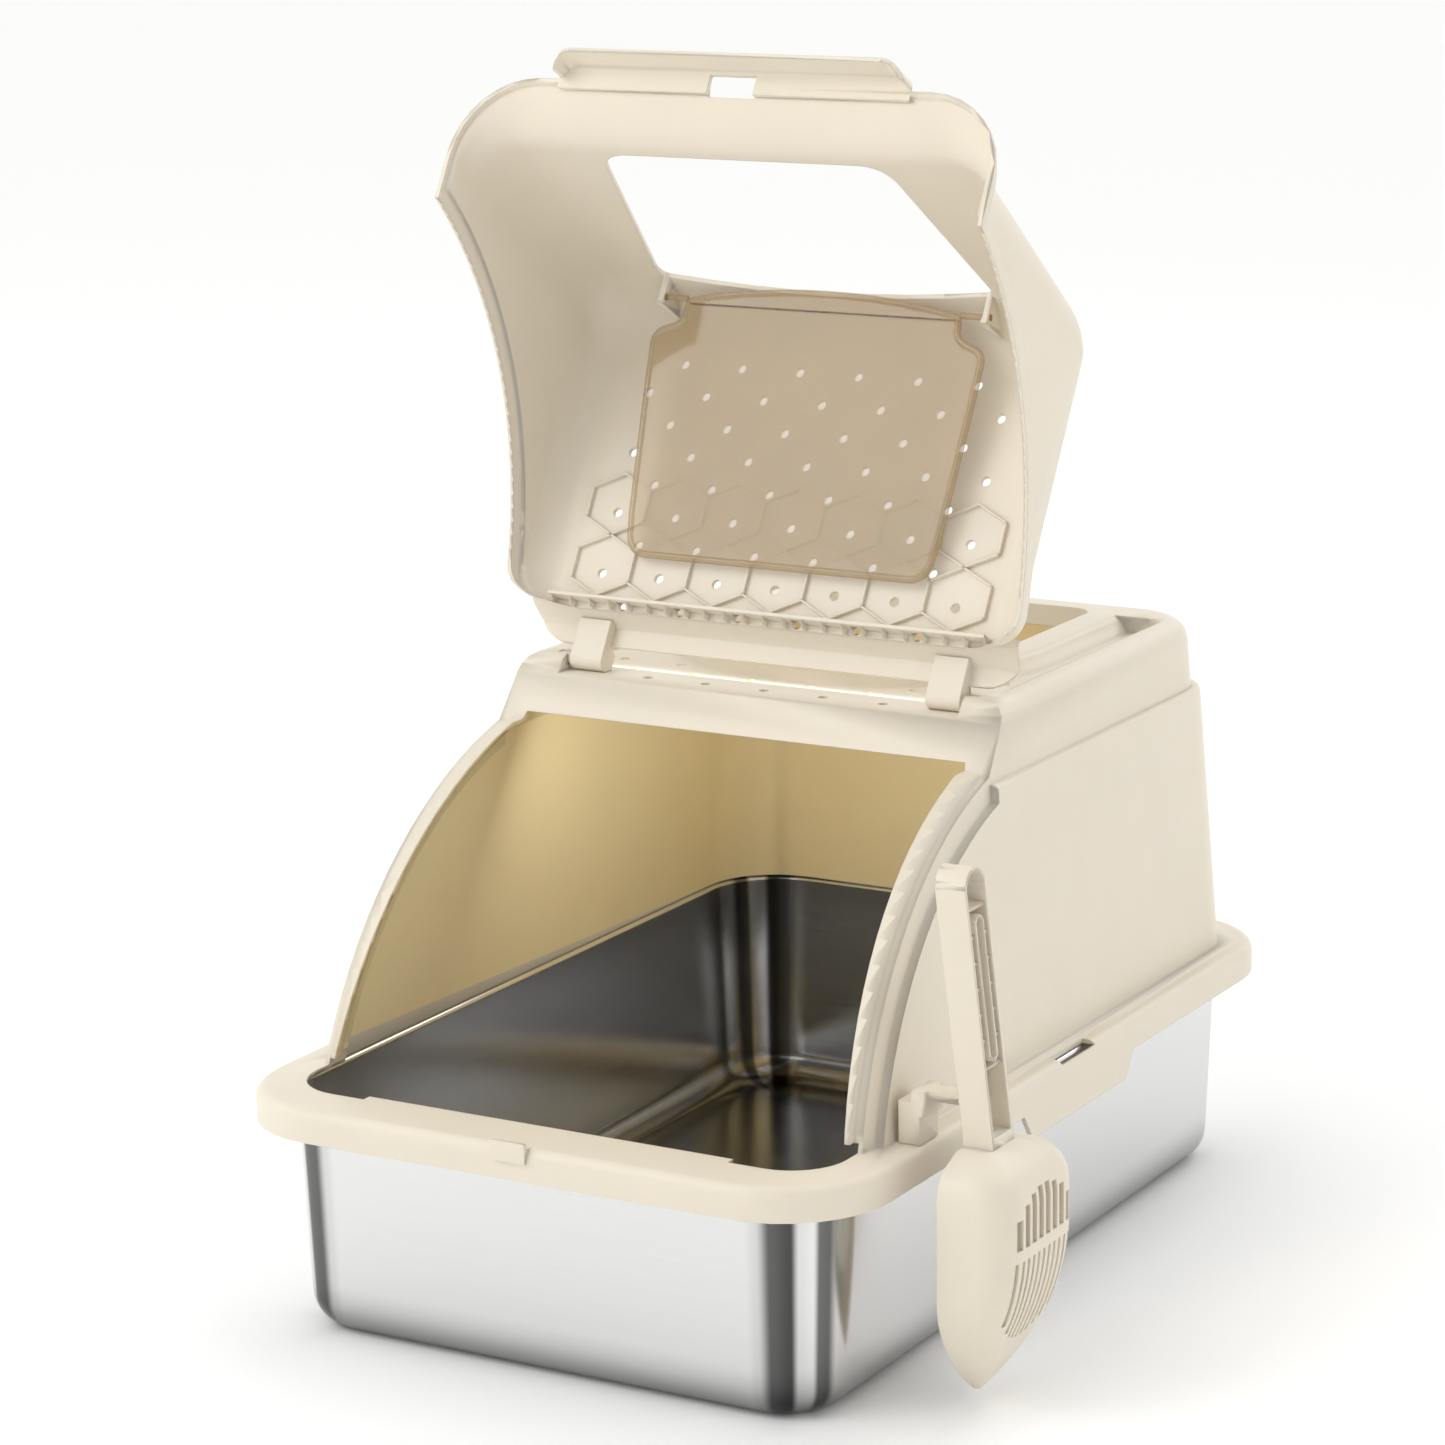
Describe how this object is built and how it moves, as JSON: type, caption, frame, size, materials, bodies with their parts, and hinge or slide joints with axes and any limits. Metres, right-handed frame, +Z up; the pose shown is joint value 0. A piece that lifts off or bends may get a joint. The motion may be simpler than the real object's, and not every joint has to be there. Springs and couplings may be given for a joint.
{
  "type": "hooded cat litter box",
  "caption": "Stainless steel litter pan under a moulded hood with a flip-up entrance lid, a swinging clear flap, a top exit and a hanging slotted scoop.",
  "frame": {"origin": "on the floor at the middle of the pan's underside", "axes": "+Z up, -Y out of the entrance at the front, +X to the side the scoop hangs on"},
  "size_m": [0.467, 0.602, 0.7139],
  "materials": {
    "stainless_steel": "polished",
    "cream_plastic": "satin",
    "smoke_clear_plastic": "clear, polished"
  },
  "bodies": {
    "pan": {"steel_pan": "stainless_steel"},
    "hood": {"hood": "cream_plastic", "scoop_holder": "cream_plastic"},
    "lid": {"entrance_lid": "cream_plastic"},
    "flap": {"flap": "smoke_clear_plastic"},
    "scoop": {"scoop": "cream_plastic"}
  },
  "joints": [
    {"name": "hood_lift", "type": "slide", "parent": "pan", "child": "hood", "axis": [0, 0, 1], "range_m": [0, 0.04]},
    {"name": "lid_hinge", "type": "hinge", "parent": "hood", "child": "lid", "pos_m": [0, -0.012, 0.3457], "axis": [1, 0, 0], "range_deg": [0, 120]},
    {"name": "flap_swing", "type": "hinge", "parent": "lid", "child": "flap", "pos_m": [0, 0.06268, 0.55604], "axis": [-1, 0, 0], "range_deg": [0, 100]},
    {"name": "scoop_lift", "type": "slide", "parent": "hood", "child": "scoop", "axis": [0, 0, 1], "range_m": [0, 0.018]}
  ]
}
